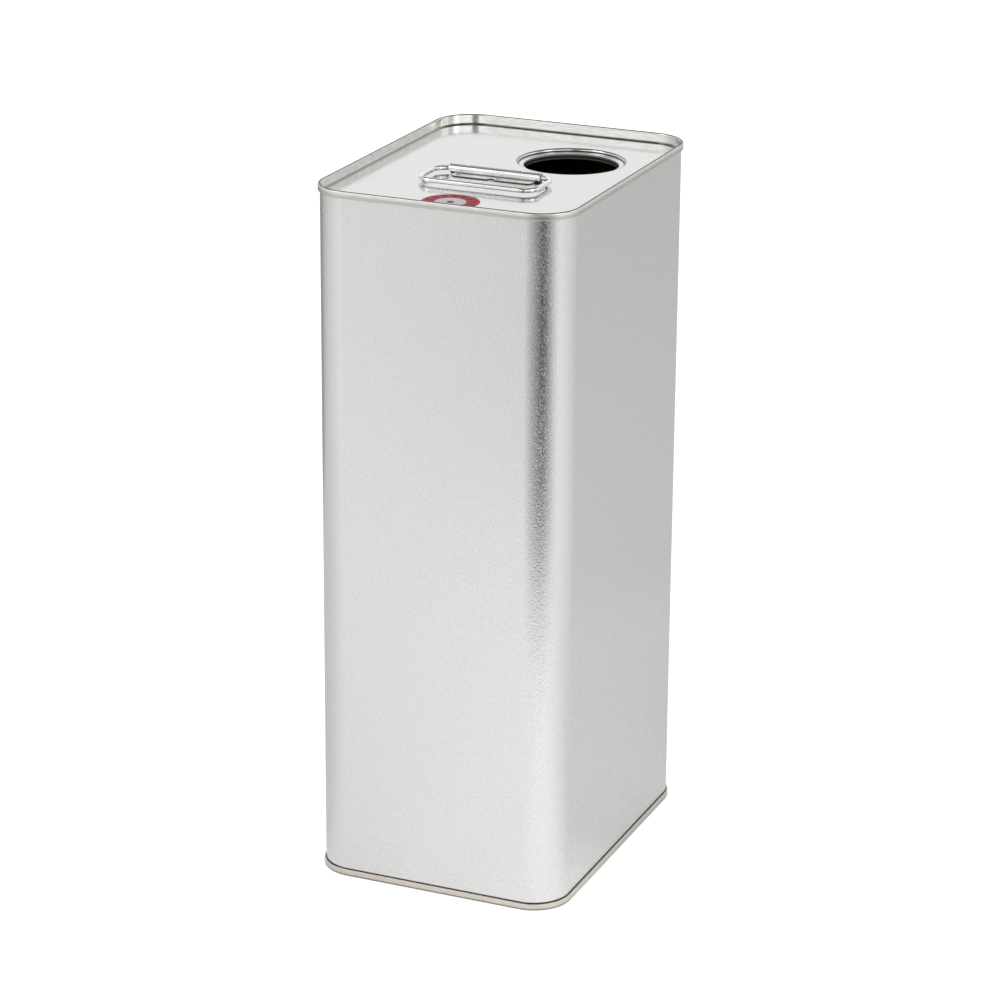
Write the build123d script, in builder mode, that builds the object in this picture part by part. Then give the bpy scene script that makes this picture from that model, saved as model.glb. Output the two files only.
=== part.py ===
"""A five litre tinplate oil tin: seamed body and ends, an open formed neck and a hinged wire carrying ring.

All lengths are millimetres. Z is up, X runs along the narrow front face and Y from the front to the back.
The origin is the middle of the base, on the surface that the tin stands on.
"""

import os
from math import cos, radians, sin

from build123d import *

# Body
body_width = 118.0  # outside of the sheet, along X
body_depth = 154.0  # outside of the sheet, along Y
tin_height = 319.0  # over both seams
corner_radius = 17.0  # outside of the sheet, at the upright corners
body_sheet = 0.27  # tinplate of the body
weld_width = 0.8  # lap weld that closes the sheet, down the middle of the back

# Ends and the double seams that hold them
end_sheet = 0.27  # tinplate of both ends
seam_gap = 0.02  # between neighbouring layers of a seam
seam_height = 3.2
seam_corner = 0.35  # bends at the seam's face, at the middle of the sheet
top_recess = 4.6  # from the seam's face down to the lid
base_recess = 5.2  # from the seam's face up to the base panel
recess_bend = 0.9  # bend between panel and upright wall, at the middle of the sheet
hook_end_gap = 0.1  # between the end of a hook and what it points at
compound_height = 0.3  # sealing compound, packed above the cover hook

# Stiffening step pressed up into the base panel
step_inset = 14.0  # from the outside of the body
step_height = 0.8
step_corner = 8.0

# Pouring opening: a stepped neck pressed down into the lid
opening_x = 19.7
opening_y = 29.0
mouth_radius = 23.6  # face of the upper wall
mouth_bend = 0.8  # rounded edge between lid and upper wall
ledge_depth = 1.3  # from the lid down to the ledge
ledge_bend = 0.3  # hollow bend between upper wall and ledge
throat_radius = 21.1  # face of the lower wall, which grips a spout
throat_bend = 0.6  # rounded edge between ledge and lower wall
throat_depth = 3.9  # from the lid down to the curl
curl_radius = 0.45  # rolled edge below the throat, at the middle of the sheet
curl_turn = 270.0

# Handle bracket: a strip rolled round the wire, with its foot welded to the lid
handle_x = 0.7  # middle of bracket and ring
hinge_y = -11.6  # axis of the rolled barrel
barrel_length = 43.0
barrel_radius = 2.1  # outside
bracket_sheet = 0.5
barrel_lip_angle = 38.0  # below the level of the axis, where the roll ends over the foot
foot_reach = 6.2  # from the axis to the front edge of the foot
foot_length = 38.0
foot_corner = 2.6
foot_notch = 1.7  # radius of the notch in the middle of the front edge
crimp_spacing = 26.2  # between the two dents that pinch the roll on the wire
crimp_radius = 1.1
crimp_dent = 0.3
crimp_angle = 62.0  # above the level of the axis, on the back of the barrel

# Spot welds in the foot, one in each half
weld_radius = 0.9
weld_dent = 0.12  # from the face of the foot down to the weld
weld_inset = 2.2  # from the front edge of the foot
weld_offset = 2.9  # from the left end of its half of the foot

# Carrying ring
wire_radius = 1.15
ring_length = 54.8  # between the middles of the wire
ring_reach = 23.6  # from the axis to the middle of the front run
ring_corner = 6.5  # at the middle of the wire
ring_joint_gap = 0.3  # the wire's two ends meet inside the barrel

# Levels
lid_z = tin_height - top_recess
hinge_z = lid_z + barrel_radius
inner_panel_z = base_recess + step_height

# Middles of the five layers of a seam, measured outwards from the outside of the body
recess_wall_u = -body_sheet - seam_gap - end_sheet / 2
body_wall_u = -body_sheet / 2
cover_hook_u = seam_gap + end_sheet / 2
body_hook_u = 2 * seam_gap + end_sheet + body_sheet / 2
seam_wall_u = 3 * seam_gap + 1.5 * end_sheet + body_sheet

# Places along a seam, measured from its face
hook_bend = (body_hook_u - body_wall_u) / 2
body_bend_depth = end_sheet + seam_gap + body_sheet / 2 + hook_bend
curl_bend_depth = seam_height - hook_bend - end_sheet / 2
body_hook_depth = curl_bend_depth - hook_end_gap
cover_hook_depth = body_bend_depth + compound_height + hook_end_gap + end_sheet / 2
panel_inset = recess_bend - recess_wall_u

# The plane of a seam's section, at the middle of the front, with +X out of the tin and +Y up
section_plane = Plane(origin=(0, -body_depth / 2, 0), x_dir=(0, -1, 0), z_dir=(-1, 0, 0))


def body_outline():
    """The outside of the body as a closed path that starts in the middle of the front."""
    half_width = body_width / 2
    half_depth = body_depth / 2
    side = half_width - corner_radius
    end = half_depth - corner_radius
    with BuildLine() as path:
        Line((0, -half_depth), (side, -half_depth))
        CenterArc((side, -end), corner_radius, -90, 90)
        Line((half_width, -end), (half_width, end))
        CenterArc((side, end), corner_radius, 0, 90)
        Line((side, half_depth), (-side, half_depth))
        CenterArc((-side, end), corner_radius, 90, 90)
        Line((-half_width, end), (-half_width, -end))
        CenterArc((-side, -end), corner_radius, 180, 90)
        Line((-side, -half_depth), (0, -half_depth))
    return path.wire()


def rim_section(face, inward, recess):
    """Section of an end's rim: recess wall, seam and cover hook. inward is -1 at the lid and +1 at the base."""
    panel = face + inward * (recess + end_sheet / 2)
    panel_bend = panel - inward * recess_bend
    crown = face + inward * end_sheet / 2
    shoulder = crown + inward * seam_corner
    curl_bend = face + inward * curl_bend_depth
    quarter_turn = 90 * inward
    with BuildSketch(section_plane) as section:
        with BuildLine():
            Line((recess_wall_u - recess_bend - end_sheet, panel), (recess_wall_u - recess_bend, panel))
            CenterArc((recess_wall_u - recess_bend, panel_bend), recess_bend, quarter_turn, -quarter_turn)
            Line((recess_wall_u, panel_bend), (recess_wall_u, shoulder))
            CenterArc((recess_wall_u + seam_corner, shoulder), seam_corner, 180, quarter_turn)
            Line((recess_wall_u + seam_corner, crown), (seam_wall_u - seam_corner, crown))
            CenterArc((seam_wall_u - seam_corner, shoulder), seam_corner, -quarter_turn, quarter_turn)
            Line((seam_wall_u, shoulder), (seam_wall_u, curl_bend))
            CenterArc((body_hook_u, curl_bend), hook_bend, 0, 2 * quarter_turn)
            Line((cover_hook_u, curl_bend), (cover_hook_u, face + inward * cover_hook_depth))
            offset(amount=end_sheet / 2, side=Side.BOTH)
        make_face()
    return section.sketch


def compound_section(face, inward):
    """Section of the sealing compound between the body's bend and the end of the cover hook."""
    middle = face + inward * (body_bend_depth + compound_height / 2)
    with BuildSketch(section_plane) as section:
        with Locations((cover_hook_u, middle)):
            Rectangle(end_sheet, compound_height)
    return section.sketch


def inset_outline(inset, corner):
    """Rounded rectangle whose sides lie inside those of the body by the inset."""
    return RectangleRounded(body_width - 2 * inset, body_depth - 2 * inset, corner)


outline = body_outline()

# Body: one sheet bent round and hooked outwards at both rims, open where the weld joins its edges
with BuildPart() as body_shell:
    with BuildSketch(section_plane):
        with BuildLine():
            Line((body_hook_u, body_hook_depth), (body_hook_u, body_bend_depth))
            CenterArc((cover_hook_u, body_bend_depth), hook_bend, 0, -180)
            Line((body_wall_u, body_bend_depth), (body_wall_u, tin_height - body_bend_depth))
            CenterArc((cover_hook_u, tin_height - body_bend_depth), hook_bend, 180, -180)
            Line((body_hook_u, tin_height - body_bend_depth), (body_hook_u, tin_height - body_hook_depth))
            offset(amount=body_sheet / 2, side=Side.BOTH)
        make_face()
    sweep(path=outline)
    with Locations((0, body_depth / 2, tin_height / 2)):
        Box(weld_width, 2 * corner_radius, tin_height, mode=Mode.SUBTRACT)

# Weld down the back, flush with the sheet, from one rim's bend to the other's
with BuildPart() as side_seam_weld:
    with Locations((0, body_depth / 2 - body_sheet / 2, tin_height / 2)):
        Box(weld_width, body_sheet, tin_height - 2 * body_bend_depth)

# Lid: panel and rim, and the neck pressed down into the panel
neck_plane = Plane(origin=(opening_x, opening_y, lid_z), x_dir=(1, 0, 0), z_dir=(0, -1, 0))
upper_wall_r = mouth_radius + end_sheet / 2
lower_wall_r = throat_radius + end_sheet / 2
ledge_level = -ledge_depth - end_sheet / 2
with BuildPart() as top_end:
    add(rim_section(tin_height, -1, top_recess))
    sweep(path=outline)
    with BuildSketch(Plane.XY.offset(lid_z - end_sheet)):
        inset_outline(panel_inset, corner_radius - panel_inset)
        with Locations((opening_x, opening_y)):
            Circle(mouth_radius + mouth_bend, mode=Mode.SUBTRACT)
    extrude(amount=end_sheet)
    with BuildSketch(neck_plane):
        with BuildLine():
            CenterArc((mouth_radius + mouth_bend, -mouth_bend), mouth_bend - end_sheet / 2, 90, 90)
            Line((upper_wall_r, -mouth_bend), (upper_wall_r, ledge_bend - ledge_depth))
            CenterArc((mouth_radius - ledge_bend, ledge_bend - ledge_depth), ledge_bend + end_sheet / 2, 0, -90)
            Line((mouth_radius - ledge_bend, ledge_level), (throat_radius + throat_bend, ledge_level))
            CenterArc((throat_radius + throat_bend, -ledge_depth - throat_bend), throat_bend - end_sheet / 2, 90, 90)
            Line((lower_wall_r, -ledge_depth - throat_bend), (lower_wall_r, -throat_depth))
            CenterArc((lower_wall_r + curl_radius, -throat_depth), curl_radius, 180, curl_turn)
            offset(amount=end_sheet / 2, side=Side.BOTH)
        make_face()
    revolve(axis=Axis((opening_x, opening_y, lid_z), (0, 0, 1)))

# Base: rim, panel and the stiffening step pressed up into it
with BuildPart() as base_end:
    add(rim_section(0, 1, base_recess))
    sweep(path=outline)
    with BuildSketch(Plane.XY.offset(base_recess)):
        inset_outline(panel_inset, corner_radius - panel_inset)
    extrude(amount=end_sheet)
    with BuildSketch(Plane.XY.offset(base_recess)):
        inset_outline(step_inset, step_corner)
    extrude(amount=step_height + end_sheet)
    with BuildSketch(Plane.XY.offset(base_recess)):
        inset_outline(step_inset + end_sheet, step_corner - end_sheet)
    extrude(amount=step_height, mode=Mode.SUBTRACT)

# Sealing compound in both seams
with BuildPart() as top_seam_compound:
    add(compound_section(tin_height, -1))
    sweep(path=outline)

with BuildPart() as base_seam_compound:
    add(compound_section(0, 1))
    sweep(path=outline)

# Bracket: the barrel, rolled from the foot round the back and over to the front, and the foot itself
bracket_plane = Plane(origin=(handle_x, hinge_y, lid_z), x_dir=(0, -1, 0), z_dir=(-1, 0, 0))
foot_front_y = hinge_y - foot_reach
weld_places = [
    (handle_x - foot_length / 2 + weld_offset, foot_front_y + weld_inset),
    (handle_x + weld_offset, foot_front_y + weld_inset),
]
crimp_distance = barrel_radius + crimp_radius - crimp_dent
crimp_y = hinge_y + crimp_distance * cos(radians(crimp_angle))
crimp_z = hinge_z + crimp_distance * sin(radians(crimp_angle))
with BuildPart() as handle_bracket:
    with BuildSketch(bracket_plane):
        with BuildLine():
            CenterArc((0, barrel_radius), barrel_radius - bracket_sheet / 2, -90, -270 - barrel_lip_angle)
            offset(amount=bracket_sheet / 2, side=Side.BOTH)
        make_face()
    extrude(amount=barrel_length / 2, both=True)
    with BuildSketch(Plane.XY.offset(lid_z)) as foot:
        with Locations((handle_x, hinge_y - foot_reach / 2)):
            Rectangle(foot_length, foot_reach)
        fillet(foot.vertices().group_by(Axis.Y)[0], radius=foot_corner)
        with Locations((handle_x, foot_front_y)):
            Circle(foot_notch, mode=Mode.SUBTRACT)
        with Locations(*weld_places):
            Circle(weld_radius, mode=Mode.SUBTRACT)
    extrude(amount=bracket_sheet)
    with Locations((handle_x - crimp_spacing / 2, crimp_y, crimp_z), (handle_x + crimp_spacing / 2, crimp_y, crimp_z)):
        Sphere(crimp_radius, mode=Mode.SUBTRACT)

# Spot welds between the foot and the lid
with BuildPart() as bracket_spot_welds:
    with BuildSketch(Plane.XY.offset(lid_z)):
        with Locations(*weld_places):
            Circle(weld_radius)
    extrude(amount=bracket_sheet - weld_dent)

# Carrying ring: one wire bent into a rounded rectangle, folded down to the front
with BuildPart() as carrying_ring:
    with BuildLine(Plane(origin=(handle_x, hinge_y, hinge_z))) as ring_line:
        FilletPolyline(
            (ring_joint_gap / 2, 0),
            (ring_length / 2, 0),
            (ring_length / 2, -ring_reach),
            (-ring_length / 2, -ring_reach),
            (-ring_length / 2, 0),
            (-ring_joint_gap / 2, 0),
            radius=ring_corner,
        )
    with BuildSketch(Plane(origin=ring_line.wire() @ 0, z_dir=ring_line.wire() % 0)):
        Circle(wire_radius)
    sweep(path=ring_line.wire())

pieces = {
    "body_shell": body_shell,
    "side_seam_weld": side_seam_weld,
    "top_end": top_end,
    "base_end": base_end,
    "top_seam_compound": top_seam_compound,
    "base_seam_compound": base_seam_compound,
    "handle_bracket": handle_bracket,
    "bracket_spot_welds": bracket_spot_welds,
    "carrying_ring": carrying_ring,
}
os.makedirs("parts", exist_ok=True)
for name, piece in pieces.items():
    piece.part.label = name
    export_step(piece.part, f"parts/{name}.step")
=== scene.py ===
"""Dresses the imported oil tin: rolled tinplate body, seamed ends with an open neck, hinged wire ring.

Lengths are metres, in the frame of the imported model: Z up, the front towards -Y, the origin under the base.
"""

from __future__ import annotations

import logging
import math
from dataclasses import dataclass, field
from enum import Enum
from functools import cached_property

import bmesh
import bpy
from mathutils import Matrix, Vector


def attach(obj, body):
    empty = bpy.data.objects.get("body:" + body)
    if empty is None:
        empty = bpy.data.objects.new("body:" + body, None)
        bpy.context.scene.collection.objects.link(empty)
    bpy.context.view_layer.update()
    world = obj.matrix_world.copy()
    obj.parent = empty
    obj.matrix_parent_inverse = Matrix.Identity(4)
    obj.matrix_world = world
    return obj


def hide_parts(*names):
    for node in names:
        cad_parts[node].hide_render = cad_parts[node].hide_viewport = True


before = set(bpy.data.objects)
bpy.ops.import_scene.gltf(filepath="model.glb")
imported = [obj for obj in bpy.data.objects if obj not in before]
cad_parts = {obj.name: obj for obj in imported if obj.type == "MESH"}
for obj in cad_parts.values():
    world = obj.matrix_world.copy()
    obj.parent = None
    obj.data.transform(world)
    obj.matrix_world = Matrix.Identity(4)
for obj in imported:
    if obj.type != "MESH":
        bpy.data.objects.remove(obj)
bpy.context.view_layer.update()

LOG = logging.getLogger("oil_tin")

Shape = bmesh.types.BMesh
Vert = bmesh.types.BMVert
Edge = bmesh.types.BMEdge
Material = bpy.types.Material
Node = bpy.types.Node
Socket = bpy.types.NodeSocket
Input = float | tuple | Socket
Triple = tuple[float, float, float]
Colour = Triple
Span = tuple[float, float]
Stops = tuple[Span, ...]

WELD_DISTANCE = 1e-7
TOUCH = 1e-6
QUARTER = math.pi / 2
MIDDLE = Vector((0, 0, 0))
BEND_STEPS = 6
HOOK_STEPS = 8
SMALL_STEPS = 4
BROKEN_ANGLE = math.radians(50)
BROKEN_SEGMENTS = 2
FLAT_WEIGHT = 50
BRIGHTEST = 2.0
WHITE = (1, 1, 1, 1)


class Body(Enum):
    """Bodies that pieces ride on."""

    TIN = "tin"
    RING = "ring"


class Slot(Enum):
    """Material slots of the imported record."""

    BODY = "body_tinplate"
    ENDS = "end_tinplate"
    BRACKET = "bracket_steel"
    WIRE = "ring_wire"
    WELD = "weld_steel"


class Rim(Enum):
    """Which seam a section belongs to, as the direction from its face into the tin."""

    TOP = -1
    BASE = 1


# Sizes of the tin


@dataclass(frozen=True)
class TinSizes:
    """Sizes that the sheet metal pieces share."""

    width: float = 0.118
    depth: float = 0.154
    height: float = 0.319
    corner: float = 0.017
    sheet: float = 0.00027
    seam_gap: float = 0.00002
    seam_height: float = 0.0032
    hook_end_gap: float = 0.0001
    compound_height: float = 0.0003
    recess_bend: float = 0.0009
    top_recess: float = 0.0046
    base_recess: float = 0.0052

    @property
    def lid_level(self) -> float:
        """Upper face of the lid."""
        return self.height - self.top_recess

    @property
    def recess_wall_u(self) -> float:
        """Middle of the wall that drops from the seam to the panel, outwards from the body's face."""
        return -1.5 * self.sheet - self.seam_gap

    @property
    def body_wall_u(self) -> float:
        """Middle of the body's sheet."""
        return -self.sheet / 2

    @property
    def cover_hook_u(self) -> float:
        """Middle of the end's hook inside the seam."""
        return self.seam_gap + self.sheet / 2

    @property
    def body_hook_u(self) -> float:
        """Middle of the body's hook inside the seam."""
        return 2 * self.seam_gap + 1.5 * self.sheet

    @property
    def seam_wall_u(self) -> float:
        """Middle of the seam's outer wall."""
        return 3 * self.seam_gap + 2.5 * self.sheet

    @property
    def hook_bend(self) -> float:
        """Radius of the hooks, at the middle of the sheet."""
        return (self.body_hook_u - self.body_wall_u) / 2

    @property
    def body_bend_depth(self) -> float:
        """From a seam's face to the middle of the body's bend."""
        return 1.5 * self.sheet + self.seam_gap + self.hook_bend

    @property
    def curl_bend_depth(self) -> float:
        """From a seam's face to the middle of the end's curl."""
        return self.seam_height - self.hook_bend - self.sheet / 2

    @property
    def cover_hook_depth(self) -> float:
        """From a seam's face to the end of the end's hook."""
        return self.body_bend_depth + self.compound_height + self.hook_end_gap + self.sheet / 2


SIZES = TinSizes()


# Shape building blocks


def of_kind(made: list, kind: type) -> list:
    """Picks the verts or the edges out of what an operator made."""
    return [g for g in made if isinstance(g, kind)]


def with_ends(edges: list[Edge]) -> list[Vert | Edge]:
    """Gives edges together with the points at their ends."""
    return list({v for edge in edges for v in edge.verts}) + list(edges)


def full_turn(bm: Shape, edges: list[Edge], centre: Vector, steps: int) -> None:
    """Turns a section once round an upright axis."""
    bmesh.ops.spin(
        bm, geom=with_ends(edges), cent=centre, axis=(0, 0, 1), angle=2 * math.pi, steps=steps, use_merge=True
    )


def fill(bm: Shape, edges: list[Edge]) -> None:
    """Closes a flat outline with triangles and leaves its holes open."""
    bmesh.ops.triangle_fill(bm, edges=edges, use_beauty=True, use_dissolve=False)


def open_edges(bm: Shape, level: float) -> list[Edge]:
    """Finds the open edges that lie at a level."""
    return [
        edge
        for edge in bm.edges
        if len(edge.link_faces) < 2 and all(abs(v.co.z - level) < TOUCH for v in edge.verts)
    ]


class Pen:
    """Draws the middle line of a sheet's section as a chain of edges, outwards along Y and up along Z."""

    def __init__(self, bm: Shape, origin: Vector, across: float, up: float) -> None:
        """Puts the pen down.

        Args:
            bm: Mesh to draw in.
            origin: Point from which places are measured.
            across: First place, along Y from the origin.
            up: First place, along Z from the origin.
        """
        self.bm = bm
        self.origin = origin
        self.known = set(bm.edges)
        self.tip = bmesh.ops.create_vert(bm, co=self._point(across, up))["vert"][0]

    def _point(self, across: float, up: float) -> Vector:
        """Gives the point at a place of the section."""
        return self.origin + Vector((0, across, up))

    def line(self, across: float, up: float) -> Pen:
        """Draws a straight stroke to a place and gives the pen back."""
        made = bmesh.ops.extrude_vert_indiv(self.bm, verts=[self.tip])
        self.tip = made["verts"][0]
        bmesh.ops.translate(self.bm, verts=[self.tip], vec=self._point(across, up) - self.tip.co)
        return self

    def arc(self, across: float, up: float, turn: float, steps: int = BEND_STEPS) -> Pen:
        """Draws an arc round a centre.

        Args:
            across: Centre, along Y from the origin.
            up: Centre, along Z from the origin.
            turn: Angle in radians, positive from +Y to +Z.
            steps: Number of edges.

        Returns:
            The pen.
        """
        made = bmesh.ops.spin(
            self.bm, geom=[self.tip], cent=self._point(across, up), axis=(1, 0, 0), angle=turn, steps=steps
        )
        self.tip = of_kind(made["geom_last"], Vert)[0]
        return self

    def edges(self) -> list[Edge]:
        """Gives the edges drawn so far."""
        return [edge for edge in self.bm.edges if edge not in self.known]


@dataclass(frozen=True)
class RoundedPath:
    """A level rounded rectangle that sections are carried along, from the middle of its back."""

    centre: Vector
    half_width: float
    half_depth: float
    corner: float
    steps: int = 20

    def start(self, gap: float = 0.0) -> Vector:
        """Gives the path's first point, half a gap to the left of the middle of the back."""
        return self.centre + Vector((-gap / 2, self.half_depth, 0))

    def sweep(self, bm: Shape, edges: list[Edge], gap: float = 0.0) -> None:
        """Carries edges along the path, left along the back first.

        Args:
            bm: Mesh that holds the edges.
            edges: The section, drawn at the start.
            gap: Width left open in the middle of the back.
        """
        side = self.half_width - self.corner
        end = self.half_depth - self.corner
        legs = (
            ((gap / 2 - side, 0, 0), (-side, end, 0)),
            ((0, -2 * end, 0), (-side, -end, 0)),
            ((2 * side, 0, 0), (side, -end, 0)),
            ((0, 2 * end, 0), (side, end, 0)),
        )
        for run, pivot in legs:
            made = bmesh.ops.spin(
                bm,
                geom=with_ends(self._run(bm, edges, run)),
                cent=self.centre + Vector(pivot),
                axis=(0, 0, 1),
                angle=QUARTER,
                steps=self.steps,
            )
            edges = of_kind(made["geom_last"], Edge)
        self._run(bm, edges, (gap / 2 - side, 0, 0))
        if not gap:
            bmesh.ops.remove_doubles(bm, verts=bm.verts, dist=WELD_DISTANCE)

    @staticmethod
    def _run(bm: Shape, edges: list[Edge], move: Triple) -> list[Edge]:
        """Draws edges out along a straight run and gives the new ones."""
        made = bmesh.ops.extrude_edge_only(bm, edges=edges)["geom"]
        bmesh.ops.translate(bm, verts=of_kind(made, Vert), vec=move)
        return of_kind(made, Edge)


def add_object(name: str, data: bpy.types.ID) -> bpy.types.Object:
    """Adds an object to the scene."""
    made = bpy.data.objects.new(name, data)
    bpy.context.scene.collection.objects.link(made)
    return made


def mesh_of(name: str, bm: Shape, material: Material) -> bpy.types.Mesh:
    """Turns a shape into a mesh with its material, and frees the shape."""
    mesh = bpy.data.meshes.new(name)
    bm.to_mesh(mesh)
    bm.free()
    mesh.materials.append(material)
    return mesh


def place_piece(
    name: str,
    bm: Shape,
    material: Material,
    body: Body,
    node: str,
    sheet: float = 0.0,
    bevel: float = 0.0,
) -> None:
    """Turns a mesh into a finished piece that stands for a CAD node.

    Args:
        name: Name of the piece.
        bm: Its mesh, freed here.
        material: Its material.
        body: Body that it rides on.
        node: CAD node that it replaces.
        sheet: Thickness to give to a middle surface, or 0 for a closed shape.
        bevel: Width of the broken edges, or 0.
    """
    bmesh.ops.remove_doubles(bm, verts=bm.verts, dist=WELD_DISTANCE)
    bmesh.ops.recalc_face_normals(bm, faces=bm.faces)
    for face in bm.faces:
        face.smooth = True
    piece = add_object(name, mesh_of(name, bm, material))
    if sheet:
        solid = piece.modifiers.new("sheet", "SOLIDIFY")
        solid.thickness = sheet
        solid.offset = 0.0
        solid.use_even_offset = True
    if bevel:
        broken = piece.modifiers.new("broken_edges", "BEVEL")
        broken.width = bevel
        broken.segments = BROKEN_SEGMENTS
        broken.limit_method = "ANGLE"
        broken.angle_limit = BROKEN_ANGLE
        broken.use_clamp_overlap = True
    normals = piece.modifiers.new("flat_stays_flat", "WEIGHTED_NORMAL")
    normals.mode = "FACE_AREA"
    normals.weight = FLAT_WEIGHT
    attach(piece, body.value)
    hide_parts(node)
    LOG.info("piece %s: %d faces, rides on %s", name, len(piece.data.polygons), body.value)


def dress_node(name: str, material: Material) -> None:
    """Gives a CAD node that stays its material."""
    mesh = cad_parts[name].data
    mesh.materials.clear()
    mesh.materials.append(material)
    LOG.info("node %s keeps its CAD mesh", name)


# Sheet metal of the tin


@dataclass(frozen=True)
class TinBody:
    """The body: one sheet rolled round, hooked outwards at both rims, and the weld down its back."""

    sizes: TinSizes = SIZES
    weld_width: float = 0.0008
    weld_crown: float = 0.00004
    weld_columns: int = 6
    pinched_share: float = 0.45
    lap_step: float = 0.0016

    def build_sheet(self) -> Shape:
        """Builds the rolled sheet with its two hooks, open at the weld."""
        s = self.sizes
        bm = bmesh.new()
        path = RoundedPath(MIDDLE, s.width / 2, s.depth / 2, s.corner)
        tail = s.curl_bend_depth - s.hook_end_gap
        low, high = s.body_bend_depth, s.height - s.body_bend_depth
        pen = Pen(bm, path.start(self.weld_width), s.body_hook_u, tail)
        pen.line(s.body_hook_u, low).arc(s.cover_hook_u, low, -2 * QUARTER, HOOK_STEPS)
        pen.line(s.body_wall_u, high).arc(s.cover_hook_u, high, -2 * QUARTER, HOOK_STEPS)
        pen.line(s.body_hook_u, s.height - tail)
        path.sweep(bm, pen.edges(), self.weld_width)
        return bm

    def build_weld(self) -> Shape:
        """Builds the weld bead: a low crown across the gap, pinched at each step of the welding wheel."""
        s = self.sizes
        bm = bmesh.new()
        length = s.height - 2 * s.body_bend_depth
        count = round(length / self.lap_step) * 2
        bmesh.ops.create_grid(bm, x_segments=self.weld_columns, y_segments=count, size=0.5)
        back = s.depth / 2 + s.body_wall_u
        rows = ((-self.weld_width, 0, 0, 0), (0, 0, 1, back), (0, length, 0, s.height / 2), (0, 0, 0, 1))
        bmesh.ops.transform(bm, matrix=Matrix(rows), verts=bm.verts)
        half = self.weld_width / 2
        for v in bm.verts:
            row = round((v.co.z - s.body_bend_depth) / length * count)
            crown = 1 - (v.co.x / half) ** 2
            v.co.y += self.weld_crown * crown * (1.0 if row % 2 else self.pinched_share)
        return bm

    def dress(self, metal: Material, weld: Material) -> None:
        """Places both pieces with their materials."""
        sheet = self.sizes.sheet
        place_piece("rolled_body", self.build_sheet(), metal, Body.TIN, "body_shell", sheet)
        place_piece("side_weld_bead", self.build_weld(), weld, Body.TIN, "side_seam_weld", sheet)


@dataclass(frozen=True)
class PouringNeck:
    """The stepped neck that is pressed down into the lid, with its rolled edge."""

    centre_x: float = 0.0197
    centre_y: float = 0.029
    mouth_radius: float = 0.0236
    mouth_bend: float = 0.00095
    ledge_depth: float = 0.0013
    ledge_bend: float = 0.0003
    throat_radius: float = 0.0211
    throat_bend: float = 0.0006
    throat_depth: float = 0.0039
    curl_radius: float = 0.00045
    curl_turn: float = 3 * QUARTER
    curl_steps: int = 14
    steps: int = 128

    def build(self, bm: Shape, lid_level: float, sheet: float) -> None:
        """Spins the neck's section into a mesh.

        Args:
            bm: Mesh of the lid.
            lid_level: Upper face of the lid.
            sheet: Thickness of the lid.
        """
        half = sheet / 2
        centre = Vector((self.centre_x, self.centre_y, lid_level))
        upper, lower = self.mouth_radius + half, self.throat_radius + half
        ledge = self.ledge_bend - self.ledge_depth
        crest = self.throat_radius + self.throat_bend
        pen = Pen(bm, centre, self.mouth_radius + self.mouth_bend, -half)
        pen.arc(self.mouth_radius + self.mouth_bend, -self.mouth_bend, QUARTER)
        pen.line(upper, ledge).arc(self.mouth_radius - self.ledge_bend, ledge, -QUARTER)
        pen.line(crest, -self.ledge_depth - half)
        pen.arc(crest, -self.ledge_depth - self.throat_bend, QUARTER)
        pen.line(lower, -self.throat_depth)
        pen.arc(lower + self.curl_radius, -self.throat_depth, self.curl_turn, self.curl_steps)
        full_turn(bm, pen.edges(), centre, self.steps)


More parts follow.
